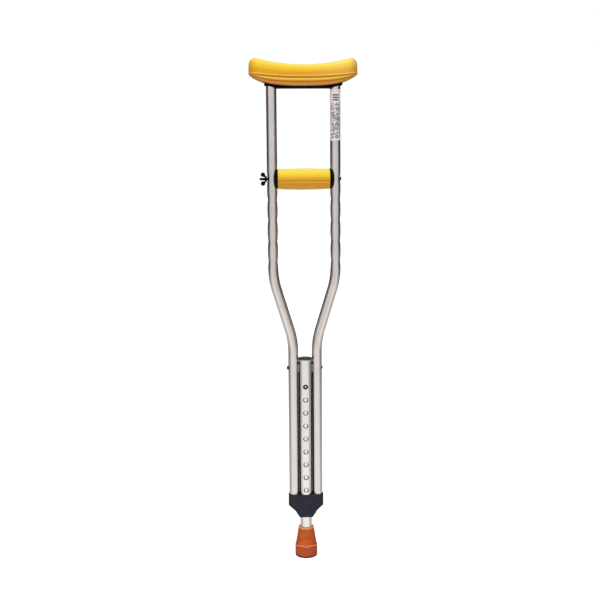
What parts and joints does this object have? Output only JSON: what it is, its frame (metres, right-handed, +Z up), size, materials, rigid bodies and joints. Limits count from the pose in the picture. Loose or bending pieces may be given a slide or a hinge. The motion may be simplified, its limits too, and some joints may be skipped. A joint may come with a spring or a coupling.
{
  "type": "underarm crutch",
  "caption": "Underarm crutch of bent aluminium tube with a saddle pad, a cross grip between the side tubes, a push-button telescopic leg and a flared rubber foot.",
  "frame": {"origin": "on the floor under the middle of the rubber tip", "axes": "+Z up along the crutch, +X to the right from side tube to side tube, -Y the front with the height holes"},
  "size_m": [0.1984, 0.048, 0.945],
  "materials": {
    "tube_aluminium": "satin, drawn and anodised",
    "centre_aluminium": "satin, drawn and anodised",
    "bright_steel": "plated",
    "dark_steel": "blackened",
    "spring_steel": "tempered, oiled",
    "pad_foam": "moulded soft foam with a smooth skin",
    "grip_foam": "moulded soft foam with a smooth skin",
    "black_plastic": "satin moulded",
    "core_plastic": "moulded",
    "ferrule_plastic": "satin moulded, navy black",
    "grey_plastic": "satin moulded, light grey",
    "tip_rubber": "moulded rubber, orange brown",
    "label_film": "blank printed film"
  },
  "bodies": {
    "frame": {"underarm_pad": "pad_foam", "underarm_bracket": "black_plastic", "left_side_tube": "tube_aluminium", "right_side_tube": "tube_aluminium", "left_bracket_rivet": "bright_steel", "right_bracket_rivet": "bright_steel", "grip_sleeve": "grip_foam", "grip_core": "core_plastic", "left_grip_cap": "black_plastic", "right_grip_cap": "black_plastic", "grip_bolt": "dark_steel", "centre_tube": "centre_aluminium", "centre_tube_plug": "black_plastic", "junction_bolt": "dark_steel", "junction_nut": "dark_steel", "left_saddle_spacer": "grey_plastic", "right_saddle_spacer": "grey_plastic", "bottom_ferrule": "ferrule_plastic", "blank_label": "label_film"},
    "extension": {"extension_tube": "centre_aluminium", "rubber_tip": "tip_rubber", "tip_disc": "bright_steel", "snap_clip": "spring_steel"},
    "snap_button": {"snap_button": "bright_steel"},
    "wing_washer": {"wing_washer": "dark_steel"},
    "wing_nut": {"wing_nut": "black_plastic"}
  },
  "joints": [
    {"name": "height_slide", "type": "slide", "parent": "frame", "child": "extension", "axis": [0, 0, -1], "range_m": [0, 0.2032], "deforming": ["snap_button"]},
    {"name": "button_press", "type": "slide", "parent": "extension", "child": "snap_button", "axis": [0, 1, 0], "range_m": [0, 0.0034], "stiffness_N_per_m": 1800, "springref_m": -0.002, "deforming": ["snap_clip"]},
    {"name": "wing_nut_back_off", "type": "slide", "parent": "frame", "child": "wing_washer", "axis": [-1, 0, 0], "range_m": [0, 0.0064]},
    {"name": "wing_nut_turn", "type": "hinge", "parent": "wing_washer", "child": "wing_nut", "pos_m": [-0.0715, 0, 0.7275], "axis": [-1, 0, 0], "range_deg": [0, 2881]}
  ],
  "couplings": [
    {"joint": "wing_nut_turn", "follows": "wing_nut_back_off", "rad_per_m": 7854}
  ]
}
